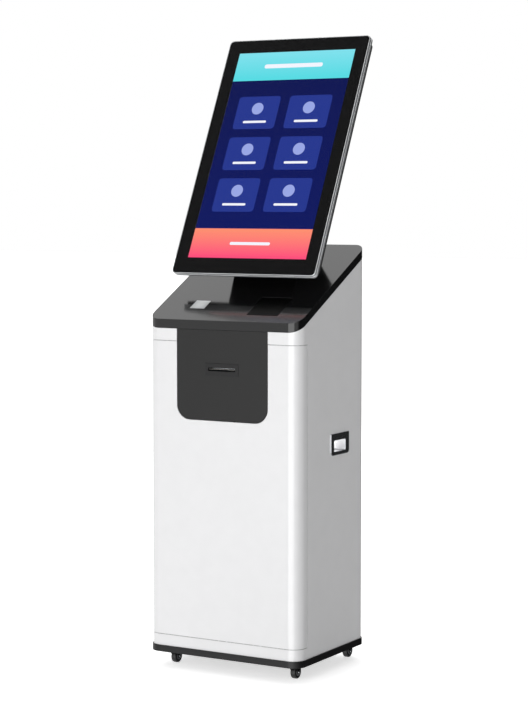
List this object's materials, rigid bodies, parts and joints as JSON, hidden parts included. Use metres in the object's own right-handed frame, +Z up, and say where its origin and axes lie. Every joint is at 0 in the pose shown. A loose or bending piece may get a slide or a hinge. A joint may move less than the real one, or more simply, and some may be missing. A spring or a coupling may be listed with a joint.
{
  "type": "touchscreen kiosk",
  "caption": "Free-standing self-service kiosk on casters with a tilted portrait touch display, sloped cap with scanner and card reader, receipt slot and a lockable front door.",
  "frame": {"origin": "on the floor, under the centre of the bounding box", "axes": "+Z up, front towards -Y, +X to the viewer's right when facing the front"},
  "size_m": [0.4455, 0.4112, 1.6077],
  "materials": {
    "white_steel": "smooth satin white powder coat",
    "zinc_steel": "zinc-plated sheet",
    "dark_steel": "black phosphate",
    "bright_steel": "bright turned steel",
    "chrome_plate": "polished plating",
    "black_paint": "semi-gloss black",
    "gloss_cap": "polished dark grey",
    "charcoal_panel": "satin charcoal powder coat",
    "silver_cup": "satin silver",
    "black_plastic": "fine-grained moulding",
    "grey_lever": "satin grey",
    "scanner_glass": "frosted light window",
    "reader_gloss": "polished black",
    "module_plastic": "moulded",
    "roller_rubber": "ground rubber",
    "paper": "thermal paper",
    "touch_glass": "black-bordered touch glass",
    "lcd_face": "lit display",
    "silver_frame": "brushed and anodised",
    "tray_steel": "textured black powder coat",
    "circuit_board": "solder mask",
    "red_rocker": "moulded",
    "caster_steel": "gloss black",
    "caster_tyre": "smooth rubber tread"
  },
  "bodies": {
    "cabinet": {"cabinet_shell": "white_steel", "base_plate": "zinc_steel", "plinth": "black_paint", "top_cap": "gloss_cap", "cap_support": "zinc_steel", "front_apron": "charcoal_panel", "equipment_shelf": "zinc_steel", "handle_frames": "chrome_plate", "handle_cups": "silver_cup", "hinge_brackets": "dark_steel", "hinge_pins": "bright_steel", "lock_housing": "black_plastic", "lever_pin": "bright_steel", "scanner_window": "scanner_glass", "scanner_module": "black_plastic", "reader_pad": "reader_gloss", "reader_module": "module_plastic", "slot_bezel": "black_plastic", "printer_chassis": "dark_steel", "print_head": "bright_steel", "roll_spindle": "bright_steel", "screen_glass": "touch_glass", "lcd_panel": "lcd_face", "screen_frame": "silver_frame", "screen_tray": "tray_steel", "display_board": "circuit_board", "neck_bracket": "zinc_steel", "vesa_screws": "bright_steel", "neck_housing": "charcoal_panel", "neck_bolts": "bright_steel", "mini_pc": "black_paint", "power_supply": "zinc_steel", "fan_frame": "black_plastic", "power_inlet": "black_plastic", "caster_plates": "caster_steel"},
    "door": {"door_panel": "white_steel", "door_stiffener": "zinc_steel", "hinge_arms": "dark_steel", "door_keeper": "zinc_steel"},
    "lock_lever": {"lock_lever": "grey_lever"},
    "key_and_cam": {"key_cylinder": "chrome_plate", "latch_cam": "dark_steel"},
    "paper_roll": {"paper_roll": "paper"},
    "platen": {"platen_roller": "roller_rubber"},
    "printer_cover": {"printer_cover": "module_plastic"},
    "fan_rotor": {"fan_rotor": "module_plastic"},
    "rocker": {"rocker_switch": "red_rocker"},
    "swivel_front_left": {"fork_front_left": "caster_steel", "axle_front_left": "bright_steel"},
    "wheel_front_left": {"wheel_front_left": "caster_tyre"},
    "swivel_front_right": {"fork_front_right": "caster_steel", "axle_front_right": "bright_steel"},
    "wheel_front_right": {"wheel_front_right": "caster_tyre"},
    "swivel_rear_left": {"fork_rear_left": "caster_steel", "axle_rear_left": "bright_steel"},
    "wheel_rear_left": {"wheel_rear_left": "caster_tyre"},
    "swivel_rear_right": {"fork_rear_right": "caster_steel", "axle_rear_right": "bright_steel"},
    "wheel_rear_right": {"wheel_rear_right": "caster_tyre"}
  },
  "joints": [
    {"name": "door_hinge", "type": "hinge", "parent": "cabinet", "child": "door", "pos_m": [0.207, -0.14255, 0.4], "axis": [0, 0, 1], "range_deg": [0, 100]},
    {"name": "lever_lift", "type": "hinge", "parent": "cabinet", "child": "lock_lever", "pos_m": [-0.221, -0.12806, 0.579], "axis": [0, 1, 0], "range_deg": [0, 30]},
    {"name": "key_turn", "type": "hinge", "parent": "cabinet", "child": "key_and_cam", "pos_m": [-0.21, -0.12505, 0.5], "axis": [-1, 0, 0], "range_deg": [0, 90]},
    {"name": "paper_roll_spin", "type": "hinge", "parent": "cabinet", "child": "paper_roll", "pos_m": [0, -0.11855, 0.746], "axis": [1, 0, 0], "continuous": true},
    {"name": "platen_spin", "type": "hinge", "parent": "cabinet", "child": "platen", "pos_m": [0, -0.17255, 0.759], "axis": [1, 0, 0], "continuous": true},
    {"name": "printer_cover_hinge", "type": "hinge", "parent": "cabinet", "child": "printer_cover", "pos_m": [0, -0.07255, 0.79], "axis": [-1, 0, 0], "range_deg": [0, 75]},
    {"name": "fan_spin", "type": "hinge", "parent": "cabinet", "child": "fan_rotor", "pos_m": [0, 0.13445, 0.64], "axis": [0, 1, 0], "continuous": true},
    {"name": "rocker_tilt", "type": "hinge", "parent": "cabinet", "child": "rocker", "pos_m": [-0.078, 0.14244, 0.12], "axis": [-1, 0, 0], "range_deg": [0, 16]},
    {"name": "swivel_front_left", "type": "hinge", "parent": "cabinet", "child": "swivel_front_left", "pos_m": [-0.176, -0.15255, 0.037], "axis": [0, 0, 1], "continuous": true},
    {"name": "roll_front_left", "type": "hinge", "parent": "swivel_front_left", "child": "wheel_front_left", "pos_m": [-0.176, -0.13956, 0.017], "axis": [1, 0, 0], "continuous": true},
    {"name": "swivel_front_right", "type": "hinge", "parent": "cabinet", "child": "swivel_front_right", "pos_m": [0.176, -0.15255, 0.037], "axis": [0, 0, 1], "continuous": true},
    {"name": "roll_front_right", "type": "hinge", "parent": "swivel_front_right", "child": "wheel_front_right", "pos_m": [0.176, -0.13956, 0.017], "axis": [1, 0, 0], "continuous": true},
    {"name": "swivel_rear_left", "type": "hinge", "parent": "cabinet", "child": "swivel_rear_left", "pos_m": [-0.176, 0.12144, 0.037], "axis": [0, 0, 1], "continuous": true},
    {"name": "roll_rear_left", "type": "hinge", "parent": "swivel_rear_left", "child": "wheel_rear_left", "pos_m": [-0.176, 0.13445, 0.017], "axis": [1, 0, 0], "continuous": true},
    {"name": "swivel_rear_right", "type": "hinge", "parent": "cabinet", "child": "swivel_rear_right", "pos_m": [0.176, 0.12144, 0.037], "axis": [0, 0, 1], "continuous": true},
    {"name": "roll_rear_right", "type": "hinge", "parent": "swivel_rear_right", "child": "wheel_rear_right", "pos_m": [0.176, 0.13445, 0.017], "axis": [1, 0, 0], "continuous": true}
  ],
  "couplings": [
    {"joint": "paper_roll_spin", "follows": "platen_spin", "ratio": 0.25}
  ]
}
